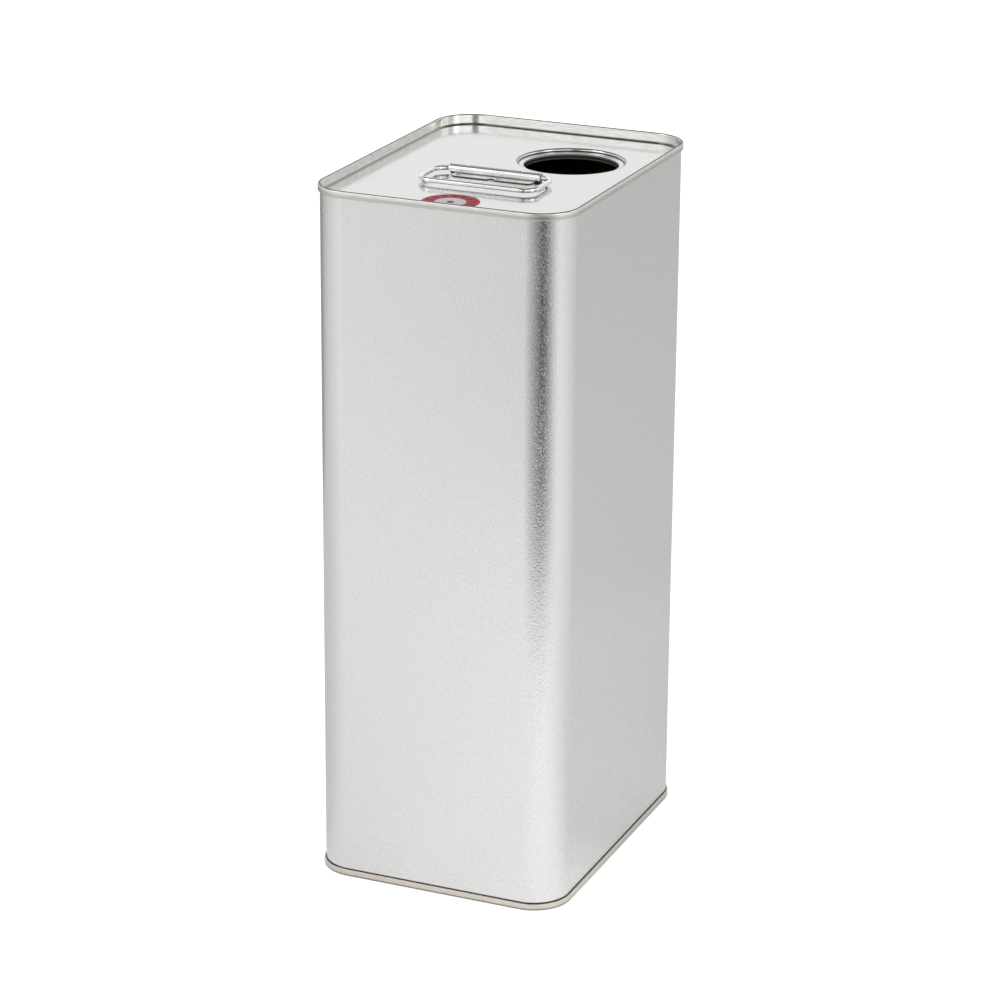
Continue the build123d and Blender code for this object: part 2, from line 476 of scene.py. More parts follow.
@dataclass(frozen=True)
class TinEnds:
    """The two ends: lid with its neck, base with its stiffening step, and the compound in their seams."""

    sizes: TinSizes = SIZES
    neck: PouringNeck = field(default_factory=PouringNeck)
    step_inset: float = 0.014
    step_height: float = 0.0008
    step_corner: float = 0.008
    step_corner_steps: int = 10
    step_bend: float = 0.0003
    crown_bend: float = 0.0005

    def _rim(self, bm: Shape, rim: Rim, recess: float) -> float:
        """Sweeps the rim of an end: panel bend, recess wall, seam and cover hook.

        Args:
            bm: Mesh to build in.
            rim: Which seam it is.
            recess: From the seam's face to the panel.

        Returns:
            Level of the panel's middle.
        """
        s = self.sizes
        inward = rim.value
        face = s.height if rim is Rim.TOP else 0.0
        panel = face + inward * (recess + s.sheet / 2)
        bend = panel - inward * s.recess_bend
        crown = face + inward * s.sheet / 2
        shoulder = crown + inward * self.crown_bend
        curl = face + inward * s.curl_bend_depth
        turn = QUARTER * inward
        path = RoundedPath(MIDDLE, s.width / 2, s.depth / 2, s.corner)
        pen = Pen(bm, path.start(), s.recess_wall_u - s.recess_bend, panel)
        pen.arc(s.recess_wall_u - s.recess_bend, bend, -turn, HOOK_STEPS)
        pen.line(s.recess_wall_u, shoulder).arc(s.recess_wall_u + self.crown_bend, shoulder, turn)
        pen.line(s.seam_wall_u - self.crown_bend, crown).arc(s.seam_wall_u - self.crown_bend, shoulder, turn)
        pen.line(s.seam_wall_u, curl).arc(s.body_hook_u, curl, 2 * turn, HOOK_STEPS)
        pen.line(s.cover_hook_u, face + inward * s.cover_hook_depth)
        path.sweep(bm, pen.edges())
        return panel

    def build_lid(self) -> Shape:
        """Builds the lid: rim, neck and the panel between them."""
        s = self.sizes
        bm = bmesh.new()
        panel = self._rim(bm, Rim.TOP, s.top_recess)
        self.neck.build(bm, s.lid_level, s.sheet)
        fill(bm, open_edges(bm, panel))
        return bm

    def build_base(self) -> Shape:
        """Builds the base: rim, panel and the step pressed up into it."""
        s = self.sizes
        bm = bmesh.new()
        panel = self._rim(bm, Rim.BASE, s.base_recess)
        raised = panel + self.step_height
        inset = self.step_inset + s.sheet / 2
        corner = self.step_corner - s.sheet / 2
        path = RoundedPath(MIDDLE, s.width / 2 - inset, s.depth / 2 - inset, corner, self.step_corner_steps)
        bend = self.step_bend
        pen = Pen(bm, path.start(), bend, panel)
        pen.arc(bend, panel + bend, -QUARTER, SMALL_STEPS)
        pen.line(0, raised - bend).arc(-bend, raised - bend, QUARTER, SMALL_STEPS)
        path.sweep(bm, pen.edges())
        for level in (panel, raised):
            fill(bm, open_edges(bm, level))
        return bm

    def dress(self, metal: Material, compound: Material) -> None:
        """Places both ends and gives the hidden compound its material."""
        sheet = self.sizes.sheet
        place_piece("lid_with_neck", self.build_lid(), metal, Body.TIN, "top_end", sheet)
        place_piece("seamed_base", self.build_base(), metal, Body.TIN, "base_end", sheet)
        for name in ("top_seam_compound", "base_seam_compound"):
            dress_node(name, compound)


# Handle on the lid


@dataclass(frozen=True)
class HandleBracket:
    """The strip rolled round the ring's wire, with its foot on the lid and two spot welds."""

    middle_x: float = 0.0007
    hinge_y: float = -0.0116
    lid_level: float = SIZES.lid_level
    barrel_length: float = 0.043
    barrel_radius: float = 0.0021
    strip: float = 0.0005
    lip_angle: float = math.radians(38)
    foot_reach: float = 0.0062
    foot_length: float = 0.038
    foot_corner: float = 0.0026
    foot_corner_steps: int = 8
    foot_notch: float = 0.0017
    notch_steps: int = 16
    notch_corner: float = 0.0003
    notch_corner_steps: int = 3
    shaded_edge: float = 0.00046
    crimp_spacing: float = 0.0262
    crimp_dent: float = 0.00043
    crimp_reach: float = 0.0018
    crimp_angle: float = math.radians(62)
    weld_radius: float = 0.0009
    weld_inset: float = 0.0022
    weld_offset: float = 0.0029
    weld_dent: float = 0.00012
    weld_profile: Stops = (
        (1.0, 0.00007), (0.84, 0.00009), (0.66, 0.0), (0.3, -0.00003), (0.0, -0.00003),
    )
    hole_steps: int = 24
    weld_steps: int = 32
    pitch: float = 0.00025
    roll_steps: int = 72
    broken_edge: float = 0.00006

    @property
    def hinge_level(self) -> float:
        """Level of the barrel's axis."""
        return self.lid_level + self.barrel_radius

    @property
    def sheet_level(self) -> float:
        """Level of the foot's middle."""
        return self.lid_level + self.strip / 2

    def weld_places(self) -> tuple[Vector, Vector]:
        """Gives the middles of the two spot welds, at the foot's middle."""
        y = self.hinge_y - self.foot_reach + self.weld_inset
        return tuple(
            Vector((self.middle_x + start + self.weld_offset, y, self.sheet_level))
            for start in (-self.foot_length / 2, 0.0)
        )

    def _outline(self, bm: Shape) -> list[Edge]:
        """Draws the foot's outline and the back line, and gives the back line's edges."""
        left = Vector((self.middle_x - self.barrel_length / 2, self.hinge_y, self.sheet_level))
        row = [bmesh.ops.create_vert(bm, co=left)["vert"][0]]
        for _ in range(round(self.barrel_length / self.pitch)):
            row.append(bmesh.ops.extrude_vert_indiv(bm, verts=[row[-1]])["verts"][0])
            row[-1].co.x += self.pitch
        back = list(bm.edges)
        inset = round((self.barrel_length - self.foot_length) / 2 / self.pitch)
        front = self.hinge_y - self.foot_reach
        half = self.foot_length / 2
        for side, tip in ((-1, row[inset]), (1, row[-1 - inset])):
            for x in (side * half, side * self.foot_notch):
                tip = bmesh.ops.extrude_vert_indiv(bm, verts=[tip])["verts"][0]
                tip.co = Vector((self.middle_x + x, front, self.sheet_level))
            if side < 0:
                notch = (self.middle_x, front, self.sheet_level)
                bmesh.ops.spin(
                    bm, geom=[tip], cent=notch, axis=(0, 0, 1), angle=-2 * QUARTER, steps=self.notch_steps
                )
        bmesh.ops.remove_doubles(bm, verts=bm.verts, dist=WELD_DISTANCE)
        corners, notch_ends = self._at_front(bm, half), self._at_front(bm, self.foot_notch)
        for verts, radius, segments in (
            (corners, self.foot_corner, self.foot_corner_steps),
            (notch_ends, self.notch_corner, self.notch_corner_steps),
        ):
            bmesh.ops.bevel(
                bm,
                geom=verts,
                offset=radius,
                offset_type="OFFSET",
                affect="VERTICES",
                segments=segments,
                profile=0.5,
                material=-1,
            )
        return [edge for edge in back if edge.is_valid]

    def _at_front(self, bm: Shape, away: float) -> list[Vert]:
        """Finds the two points on the foot's front edge that lie this far from its middle."""
        front = self.hinge_y - self.foot_reach
        return [
            v
            for v in bm.verts
            if abs(abs(v.co.x - self.middle_x) - away) < TOUCH and abs(v.co.y - front) < TOUCH
        ]

    def build(self) -> Shape:
        """Builds the strip's middle surface: foot with its holes, barrel with its crimps."""
        bm = bmesh.new()
        back = self._outline(bm)
        reach = self.foot_length / 2 + TOUCH
        outline = [e for e in bm.edges if max(abs(v.co.x - self.middle_x) for v in e.verts) < reach]
        for place in self.weld_places():
            at = Matrix.Translation(place)
            hole = bmesh.ops.create_circle(
                bm, cap_ends=False, segments=self.hole_steps, radius=self.weld_radius, matrix=at
            )
            outline += list({edge for v in hole["verts"] for edge in v.link_edges})
        fill(bm, outline)
        bmesh.ops.spin(
            bm,
            geom=with_ends(back),
            cent=(self.middle_x, self.hinge_y, self.hinge_level),
            axis=(1, 0, 0),
            angle=3 * QUARTER + self.lip_angle,
            steps=self.roll_steps,
        )
        self._pinch(bm)
        return bm

    def _pinch(self, bm: Shape) -> None:
        """Presses the two crimps into the back of the barrel."""
        axis = Vector((0, self.hinge_y, self.hinge_level))
        radius = self.barrel_radius - self.strip / 2
        away = Vector((0, math.cos(self.crimp_angle), math.sin(self.crimp_angle)))
        for side in (-1, 1):
            middle = axis + away * radius + Vector((self.middle_x + side * self.crimp_spacing / 2, 0, 0))
            for v in bm.verts:
                share = (v.co - middle).length / self.crimp_reach
                if share < 1:
                    inward = Vector((0, self.hinge_y - v.co.y, self.hinge_level - v.co.z)).normalized()
                    v.co += inward * self.crimp_dent * (1 - share * share) ** 2

    def build_welds(self) -> Shape:
        """Builds the two weld nuggets, dished by the electrode."""
        bm = bmesh.new()
        top = self.strip / 2 - self.weld_dent
        for place in self.weld_places():
            pen = Pen(bm, place, 0.0, -self.strip / 2)
            pen.line(self.weld_radius, -self.strip / 2)
            for share, rise in self.weld_profile:
                pen.line(self.weld_radius * share, top + rise)
            full_turn(bm, pen.edges(), place, self.weld_steps)
        return bm

    def dress(self, steel: Material, weld: Material) -> None:
        """Places the bracket and its welds."""
        strip, edge = self.strip, self.broken_edge
        place_piece(
            "rolled_bracket", self.build(), steel, Body.TIN, "handle_bracket", strip, edge
        )
        place_piece("spot_welds", self.build_welds(), weld, Body.TIN, "bracket_spot_welds")


@dataclass(frozen=True)
class CarryingRing:
    """The wire bent into a rounded rectangle, its ends meeting inside the barrel."""

    wire_radius: float = 0.00115
    length: float = 0.0548
    reach: float = 0.0236
    corner: float = 0.0065
    corner_steps: int = 14
    joint_gap: float = 0.0003
    sides: int = 28
    broken_edge: float = 0.00012

    def build(self, bracket: HandleBracket) -> Shape:
        """Builds the ring from a circle of wire.

        Args:
            bracket: The bracket that holds it.

        Returns:
            The ring's mesh.
        """
        bm = bmesh.new()
        middle = Vector((bracket.middle_x, bracket.hinge_y - self.reach / 2, bracket.hinge_level))
        path = RoundedPath(middle, self.length / 2, self.reach / 2, self.corner, self.corner_steps)
        place = Matrix.Translation(path.start(self.joint_gap)) @ Matrix.Rotation(QUARTER, 4, "Y")
        wire = self.wire_radius
        bmesh.ops.create_circle(bm, cap_ends=False, segments=self.sides, radius=wire, matrix=place)
        path.sweep(bm, list(bm.edges), self.joint_gap)
        bmesh.ops.holes_fill(bm, edges=[edge for edge in bm.edges if edge.is_boundary], sides=self.sides)
        return bm

    def dress(self, bracket: HandleBracket, wire: Material) -> None:
        """Places the ring on its own body."""
        ring, edge = self.build(bracket), self.broken_edge
        place_piece("wire_ring", ring, wire, Body.RING, "carrying_ring", 0.0, edge)


# Shader building blocks


class Graph:
    """Adds nodes to a tree and joins them."""

    def __init__(self, tree: bpy.types.NodeTree) -> None:
        """Keeps the tree."""
        self.tree = tree

    def node(self, kind: str, **settings: object) -> Node:
        """Adds a node and sets its properties."""
        made = self.tree.nodes.new(kind)
        for name, value in settings.items():
            setattr(made, name, value)
        return made

    def put(self, socket: Socket, value: Input) -> None:
        """Links another socket to a socket, or sets it to a value, in full opacity on a colour."""
        if isinstance(value, Socket):
            self.tree.links.new(value, socket)
        elif socket.type == "RGBA":
            socket.default_value = (*value, 1.0)
        else:
            socket.default_value = value

    def add(self, kind: str, values: dict[str, Input], **settings: object) -> Node:
        """Adds a node, sets its properties and puts values into its inputs."""
        made = self.node(kind, **settings)
        for name, value in values.items():
            self.put(made.inputs[name], value)
        return made

    def math(self, operation: str, first: Input, second: Input = 0.0, clamp: bool = False) -> Socket:
        """Adds a Math node and gives its result."""
        made = self.node("ShaderNodeMath", operation=operation, use_clamp=clamp)
        self.put(made.inputs[0], first)
        self.put(made.inputs[1], second)
        return made.outputs[0]

    def times(self, first: Input, second: Input) -> Socket:
        """Multiplies two values."""
        return self.math("MULTIPLY", first, second)

    def plus(self, first: Input, second: Input) -> Socket:
        """Adds two values."""
        return self.math("ADD", first, second)

    def minus(self, first: Input, second: Input, clamp: bool = False) -> Socket:
        """Takes the second value from the first."""
        return self.math("SUBTRACT", first, second, clamp)

    def most(self, first: Input, second: Input) -> Socket:
        """Gives the larger of two values."""
        return self.math("MAXIMUM", first, second)

    def length(self, first: Input, second: Input) -> Socket:
        """Gives the length of a level vector from its two parts."""
        return self.math("SQRT", self.plus(self.math("POWER", first, 2.0), self.math("POWER", second, 2.0)))

    def smooth(self, value: Input, low: float, high: float, start: float = 0.0, stop: float = 1.0) -> Socket:
        """Maps a range to another one with soft ends.

        Args:
            value: What is mapped.
            low: Value that gives start.
            high: Value that gives stop.
            start: Result at and below low.
            stop: Result at and above high.

        Returns:
            The mapped value.
        """
        values = {"Value": value, "From Min": low, "From Max": high, "To Min": start, "To Max": stop}
        made = self.add("ShaderNodeMapRange", values, interpolation_type="SMOOTHSTEP")
        return made.outputs["Result"]

    def rise(self, value: Input, level: float, ends: Span) -> Socket:
        """Rises from 0 to 1 between two distances from a level, the first one's side being 0."""
        return self.smooth(value, level + ends[0], level + ends[1])

    def blend(self, share: Input, first: Input, second: Input) -> Socket:
        """Blends two values."""
        made = self.node("ShaderNodeMix", data_type="FLOAT")
        for index, value in ((0, share), (2, first), (3, second)):
            self.put(made.inputs[index], value)
        return made.outputs[0]

    def mix(self, share: Input, first: Colour | Socket, second: Colour | Socket) -> Socket:
        """Mixes two colours."""
        made = self.add("ShaderNodeMix", {"Factor": share, "A": first, "B": second}, data_type="RGBA")
        return made.outputs["Result"]

    def ramp(self, place: Socket, stops: Stops, low: float = -180.0, high: float = 180.0) -> Socket:
        """Maps a turn in degrees, or another range, to the brightness of its stops.

        Args:
            place: The turn or other value, as 0 at low to 1 at high.
            stops: Pairs of a value and its brightness, in order.
            low: Value of the range's start.
            high: Value of the range's end.

        Returns:
            The brightness.
        """
        made = self.node("ShaderNodeValToRGB")
        band = made.color_ramp
        band.interpolation = "EASE"
        for index, (value, brightness) in enumerate(stops):
            at = (value - low) / (high - low)
            stop = band.elements[index] if index < 2 else band.elements.new(at)
            stop.position = at
            stop.color = (*[brightness / BRIGHTEST] * 3, 1)
        self.put(made.inputs[0], place)
        return self.times(made.outputs[0], BRIGHTEST)

    def noise(self, vector: Socket, scale: Input, detail: float = 3.0, rough: float = 0.5) -> Socket:
        """Adds a Noise texture and gives its value."""
        values = {"Vector": vector, "Scale": scale, "Detail": detail, "Roughness": rough}
        return self.add("ShaderNodeTexNoise", values).outputs["Fac"]

    def stretch(self, vector: Socket, scale: Triple) -> Socket:
        """Scales a vector with a Mapping node."""
        return self.add("ShaderNodeMapping", {"Vector": vector, "Scale": scale}).outputs["Vector"]

    def split(self, vector: Socket) -> tuple[Socket, Socket, Socket]:
        """Splits a vector into its parts."""
        return tuple(self.add("ShaderNodeSeparateXYZ", {"Vector": vector}).outputs)

    def grey(self, value: Socket, tint: Colour = (1.0, 1.0, 1.0)) -> Socket:
        """Makes a colour of a value, times a tint."""
        made = self.node("ShaderNodeCombineColor")
        for part, share in enumerate(tint):
            self.put(made.inputs[part], value if share == 1.0 else self.times(value, share))
        return made.outputs[0]

    def group(self, tree: bpy.types.NodeTree, **values: Input) -> Node:
        """Places a node group with its own values."""
        return self.add("ShaderNodeGroup", values, node_tree=tree)


def new_material(name: str) -> tuple[Material, bpy.types.NodeTree, Node]:
    """Gives a new material, its tree and its Principled BSDF."""
    material = bpy.data.materials.new(name)
    material.use_nodes = True
    shader = next(n for n in material.node_tree.nodes if n.type == "BSDF_PRINCIPLED")
    return material, material.node_tree, shader


class Effects:
    """The shader node groups that several finishes share, each built once."""

    fine_roughness: float = 0.65
    fine_share: float = 0.75
    broad_detail: float = 2.0
    streak_range: Span = (0.3, 0.7)
    mark_detail: float = 4.0
    mark_roughness: float = 0.6
    smudge_range: Span = (0.35, 0.7)
    scuff_stretch: Triple = (900.0, 900.0, 120.0)
    scuff_detail: float = 1.0
    scuff_roughness: float = 0.4
    scuff_range: Span = (0.66, 0.74)
    patch_scale: float = 55.0
    patch_range: Span = (0.55, 0.7)
    wear_range: Span = (0.3, 0.55)

    def __init__(self) -> None:
        """Builds the groups."""
        self.grain = self._grain()
        self.marks = self._marks()
        self.wear = self._wear()
        self.outline = self._outline()

    @staticmethod
    def _start(name: str, numbers: tuple[str, ...], results: tuple[str, ...]) -> tuple[Graph, dict, dict]:
        """Starts a group that takes a vector and some numbers.

        Args:
            name: Name of the group.
            numbers: Names of the numbers that go in.
            results: Names of the values that come out.

        Returns:
            The graph, its incoming sockets by name and its outgoing ones.
        """
        tree = bpy.data.node_groups.new(name, "ShaderNodeTree")
        tree.interface.new_socket(name="Vector", in_out="INPUT", socket_type="NodeSocketVector")
        for way, labels in (("INPUT", numbers), ("OUTPUT", results)):
            for label in labels:
                tree.interface.new_socket(name=label, in_out=way, socket_type="NodeSocketFloat")
        graph = Graph(tree)
        given = {s.name: s for s in graph.node("NodeGroupInput").outputs if s.name}
        return graph, given, graph.node("NodeGroupOutput").inputs

    def _grain(self) -> bpy.types.NodeTree:
        """Builds the rolled grain: fine streaks along one direction, with broader bands under them."""
        graph, s, out = self._start("rolled_grain", ("Fine", "Broad"), ("Height", "Streaks"))
        fine = graph.noise(s["Vector"], s["Fine"], rough=self.fine_roughness)
        broad = graph.noise(s["Vector"], s["Broad"], detail=self.broad_detail)
        height = graph.plus(graph.times(fine, self.fine_share), graph.times(broad, 1 - self.fine_share))
        graph.put(out["Height"], height)
        graph.put(out["Streaks"], graph.smooth(fine, *self.streak_range))
        return graph.tree

    def _marks(self) -> bpy.types.NodeTree:
        """Builds the handling marks: soft smudges and sparse short scuffs."""
        graph, s, out = self._start("handling_marks", ("Size",), ("Smudges", "Scuffs"))
        cloud = graph.noise(s["Vector"], s["Size"], detail=self.mark_detail, rough=self.mark_roughness)
        graph.put(out["Smudges"], graph.smooth(cloud, *self.smudge_range))
        stretched = graph.stretch(s["Vector"], self.scuff_stretch)
        lines = graph.noise(stretched, 1.0, detail=self.scuff_detail, rough=self.scuff_roughness)
        patches = graph.noise(s["Vector"], self.patch_scale, detail=self.scuff_detail)
        sparse = graph.times(graph.smooth(lines, *self.scuff_range), graph.smooth(patches, *self.patch_range))
        graph.put(out["Scuffs"], sparse)
        return graph.tree

    def _wear(self) -> bpy.types.NodeTree:
        """Builds the edge wear: broken patches that thin out with the distance from a level."""
        graph, s, out = self._start("edge_wear", ("Distance", "Reach", "Size"), ("Mask",))
        near = graph.minus(1.0, graph.math("DIVIDE", s["Distance"], s["Reach"]), clamp=True)
        broken = graph.noise(s["Vector"], s["Size"], detail=self.mark_detail, rough=self.mark_roughness)
        graph.put(out["Mask"], graph.smooth(graph.times(near, broken), *self.wear_range))
        return graph.tree

    def _outline(self) -> bpy.types.NodeTree:
        """Builds the distance outwards from the body's outer face, round its corners too."""
        graph, s, out = self._start("outline_distance", (), ("Distance",))
        x, y, _ = graph.split(s["Vector"])
        over_x = graph.minus(graph.math("ABSOLUTE", x), SIZES.width / 2 - SIZES.corner)
        over_y = graph.minus(graph.math("ABSOLUTE", y), SIZES.depth / 2 - SIZES.corner)
        corner = graph.length(graph.most(over_x, 0.0), graph.most(over_y, 0.0))
        inside = graph.math("MINIMUM", graph.most(over_x, over_y), 0.0)
        graph.put(out["Distance"], graph.minus(graph.plus(corner, inside), SIZES.corner))
        return graph.tree


# Finishes


@dataclass(frozen=True)
class Finish:
    """What all finishes share: two colours, a roughness, the height of bumps and how smudges dull it."""

    name: str
    colour: Colour
    dark: Colour
    roughness: float
    bump: float
    smudge: float = 0.04
    mark_size: float = 120.0

    def lay(self, coat: Coat) -> tuple[Input, Socket]:
        """Lays its tones, and gives how metallic it is and the height of its bumps."""
        raise NotImplementedError(self.name)

    def build(self, effects: Effects) -> Material:
        """Builds the material.

        Args:
            effects: The shared groups.

        Returns:
            The material.
        """
        coat = Coat(self, effects)
        return coat.done(*self.lay(coat))


class Coat(Graph):
    """The graph of one finish: where a place on the tin is, and the tone and roughness laid there so far."""

    def __init__(self, finish: Finish, effects: Effects) -> None:
        """Starts the material with the finish's first colour and its smudged roughness.

        Args:
            finish: The finish that it is for.
            effects: The shared groups.
        """
        self.material, tree, self.shader = new_material(finish.name)
        super().__init__(tree)
        self.finish = finish
        self.effects = effects
        self.place = self.node("ShaderNodeTexCoord").outputs["Object"]
        self.x, self.y, self.z = self.split(self.place)
        marks = self.group(effects.marks, Vector=self.place, Size=finish.mark_size)
        self.smudges, self.scuffs = marks.outputs
        self.tone = finish.colour
        self.rough = self.plus(finish.roughness, self.times(self.smudges, finish.smudge))

    @cached_property
    def edge(self) -> Socket:
        """Distance from the nearer end of the tin."""
        return self.math("MINIMUM", self.z, self.minus(SIZES.height, self.z))

    @cached_property
    def out(self) -> Socket:
        """Distance outwards from the body's outer face."""
        return self.group(self.effects.outline, Vector=self.place).outputs["Distance"]

    @cached_property
    def low_half(self) -> Socket:
        """1 on the tin's lower half, 0 above it."""
        return self.math("LESS_THAN", self.z, SIZES.height / 2)

    def grain(self, stretch: Triple, fine: float, broad: float) -> tuple[Socket, Socket]:
        """Gives the height and the streaks of a rolled grain."""
        along = self.stretch(self.place, stretch)
        return tuple(self.group(self.effects.grain, Vector=along, Fine=fine, Broad=broad).outputs)

    def wear(self, reach: float, size: float) -> Socket:
        """Masks worn patches near the ends of the tin."""
        values = {"Vector": self.place, "Distance": self.edge, "Reach": reach, "Size": size}
        return self.group(self.effects.wear, **values).outputs["Mask"]

    def tint(self, mask: Socket, colour: Colour | Socket, share: float = 1.0) -> None:
        """Lays a share of a colour over the tone where a mask is 1."""
        self.tone = self.mix(mask if share == 1.0 else self.times(mask, share), self.tone, colour)

    def dull(self, mask: Socket, amount: float) -> None:
        """Adds to the roughness where a mask is 1."""
        self.rough = self.plus(self.rough, self.times(mask, amount))

    def done(self, metallic: Input, height: Socket) -> Material:
        """Feeds everything into the shader.

        Args:
            metallic: How metallic it is.
            height: Height of its bumps, from 0 to 1.

        Returns:
            The material.
        """
        values = {"Strength": 1.0, "Distance": self.finish.bump, "Height": height}
        bumped = self.add("ShaderNodeBump", values).outputs["Normal"]
        inputs = {"Base Color": self.tone, "Metallic": metallic, "Roughness": self.rough, "Normal": bumped}
        for name, value in inputs.items():
            self.put(self.shader.inputs[name], value)
        return self.material


@dataclass(frozen=True)
class BodyFinish(Finish):
    """Bare tinplate with its rolling grain up and down, a golden inside, the weld's heat marks and painted
    shade low down where the body meets the base seam.
    """

    mark_size: float = 22.0
    fine: float = 1600.0
    broad: float = 1900.0
    stretch: Triple = (1.0, 1.0, 0.7)
    streaked: float = 0.3
    speck_range: Span = (0.45, 0.95)
    specks: float = 0.22
    scuffed: float = 0.12
    wear_reach: float = 0.012
    wear_size: float = 160.0
    worn: float = 0.35
    # Painted shade low on the body, where it runs into the base seam.
    shade_above_seam_ends: Span = (0.0006, 0.0003)
    shade_above_seam: float = 0.9
    shade_above_seam_tone: Colour = (0.05, 0.05, 0.045)
    heat_across: Span = (0.0032, 0.0009)
    heat_back: Span = (0.07, 0.072)
    heat: float = 0.45
    heat_tone: Colour = (0.36, 0.38, 0.43)
    lacquer: Colour = (0.16, 0.1, 0.045)
    lacquer_rough: float = 0.2

    def lay(self, coat: Coat) -> tuple[Input, Socket]:
        """Lays its tones, and gives how metallic it is and the height of its bumps."""
        height, grain = coat.grain(self.stretch, self.fine, self.broad)
        coat.tint(coat.smooth(grain, 0.0, 1.0), self.dark, self.streaked)
        coat.tint(coat.wear(self.wear_reach, self.wear_size), self.dark, self.worn)
        # Painted shade: darkens the body low down, in the narrow gap above the base seam.
        coat.tint(coat.rise(coat.z, SIZES.seam_height, self.shade_above_seam_ends), self.shade_above_seam_tone, self.shade_above_seam)
        across = coat.smooth(coat.math("ABSOLUTE", coat.x), *self.heat_across)
        coat.tint(coat.times(across, coat.smooth(coat.y, *self.heat_back)), self.heat_tone, self.heat)
        inside = self._inside(coat)
        coat.tint(inside, self.lacquer)
        coat.dull(coat.scuffs, self.scuffed)
        coat.dull(coat.smooth(grain, *self.speck_range), self.specks)
        coat.dull(inside, self.lacquer_rough)
        return 1.0, height

    @staticmethod
    def _inside(coat: Coat) -> Socket:
        """Gives 1 on faces that look towards the middle of the tin."""
        facing = coat.node("ShaderNodeVectorMath", operation="DOT_PRODUCT")
        coat.put(facing.inputs[0], coat.add("ShaderNodeCombineXYZ", {"X": coat.x, "Y": coat.y}).outputs[0])
        coat.put(facing.inputs[1], coat.node("ShaderNodeNewGeometry").outputs["True Normal"])
        return coat.math("LESS_THAN", facing.outputs["Value"], 0.0)


@dataclass(frozen=True)
class NeckFinish:
    """The neck's painted shade and coating: grey that darkens deeper inside it, a brown coating at its curl,
    and two painted dark lines round its mouth.
    """

    neck: PouringNeck = field(default_factory=PouringNeck)
    within: Span = (0.0004, 0.0002)
    dull_depth: Span = (0.00145, 0.0018)
    band_depth: float = 0.0045
    # Painted shade: brightness of the neck's inside, darker deeper down.
    depth_shade_bands: Stops = (
        (0.0, 0.9), (0.0014, 0.9), (0.0018, 0.9), (0.0021, 0.36), (0.0025, 0.26), (0.0026, 0.1),
        (0.003, 0.1), (0.00305, 0.02), (0.0036, 0.02),
    )
    warmth: Colour = (1.0, 0.985, 0.95)
    coating_depth: Span = (0.0036, 0.0037)
    coating: Colour = (0.24, 0.2, 0.16)
    # Tone of the painted dark lines round the mouth.
    line_tone: Colour = (0.03, 0.03, 0.03)
    near_mouth: Span = (0.0011, 0.0009)
    # Painted dark reflection on the mouth's bend, painted shade in the ledge's corner.
    bend_line: Span = (0.00015, 0.0003)
    bend_dark_reflection: float = 0.6
    ledge_start: Span = (0.00085, 0.00095)
    ledge_stop: Span = (0.00145, 0.0014)
    ledge_line: Span = (-0.0006, -0.0004)
    ledge_corner_shade: float = 0.9

    def lay(self, coat: Coat) -> Socket:
        """Lays the painted dark lines and the painted shade of the neck on the lid.

        Args:
            coat: The lid's coat.

        Returns:
            Mask of the neck's inside.
        """
        mouth = self.neck.mouth_radius
        far = coat.length(coat.minus(coat.x, self.neck.centre_x), coat.minus(coat.y, self.neck.centre_y))
        depth = coat.minus(SIZES.lid_level, coat.z)
        # Painted dark reflection on the mouth's bend and painted shade in the ledge's corner.
        near = coat.rise(far, mouth, self.near_mouth)
        bend = coat.times(near, coat.rise(far, mouth, self.bend_line))
        corner = coat.times(coat.smooth(depth, *self.ledge_start), coat.smooth(depth, *self.ledge_stop))
        corner = coat.times(corner, coat.rise(far, mouth, self.ledge_line))
        lines = coat.most(coat.times(bend, self.bend_dark_reflection), coat.times(corner, self.ledge_corner_shade))
        coat.tint(coat.times(lines, near), self.line_tone)
        inner = coat.times(coat.rise(far, mouth, self.within), coat.smooth(depth, *self.dull_depth))
        # Painted shade: grey that darkens deeper inside the neck.
        tone = coat.ramp(coat.math("DIVIDE", depth, self.band_depth), self.depth_shade_bands, 0.0, self.band_depth)
        coated = coat.smooth(depth, *self.coating_depth)
        coat.tint(inner, coat.mix(coated, coat.grey(tone, self.warmth), self.coating))
        return inner


@dataclass(frozen=True)
class LidPrint:
    """A red ring with even ticks round a silver middle with a dot, printed on the lid."""

    middle_x: float = -0.0003
    middle_y: float = -0.0582
    outer: float = 0.0127
    inner: float = 0.0068
    dot: float = 0.0016
    soft: Span = (0.00012, -0.00012)
    ticks: float = 14.0
    tick_range: Span = (0.0, 0.15)
    tick_start: Span = (0.0009, 0.0011)
    tick_stop: Span = (-0.0011, -0.0013)
    lowest: float = 0.0001
    highest: float = 0.0003
    ink: Colour = (0.45, 0.022, 0.03)
    tick_ink: Colour = (0.1, 0.003, 0.005)
    silver_ink: Colour = (0.6, 0.58, 0.58)

    def lay(self, coat: Coat) -> Socket:
        """Lays the print on the lid.

        Args:
            coat: The lid's coat.

        Returns:
            Mask of the whole disc.
        """
        across, along = coat.minus(coat.x, self.middle_x), coat.minus(coat.y, self.middle_y)
        far = coat.length(across, along)
        above = coat.math("GREATER_THAN", coat.z, SIZES.lid_level - self.lowest)
        below = coat.math("LESS_THAN", coat.z, SIZES.lid_level + self.highest)
        disc = coat.times(coat.rise(far, self.outer, self.soft), coat.times(above, below))
        wave = coat.math("COSINE", coat.times(coat.math("ARCTAN2", along, across), self.ticks))
        band = coat.rise(far, self.inner, self.tick_start)
        band = coat.times(band, coat.rise(far, self.outer, self.tick_stop))
        colour = coat.mix(coat.times(coat.smooth(wave, *self.tick_range), band), self.ink, self.tick_ink)
        dot = coat.rise(far, self.dot, self.soft)
        silver = coat.minus(coat.rise(far, self.inner, self.soft), dot)
        coat.tint(disc, coat.mix(dot, coat.mix(silver, colour, self.silver_ink), self.tick_ink))
        return disc


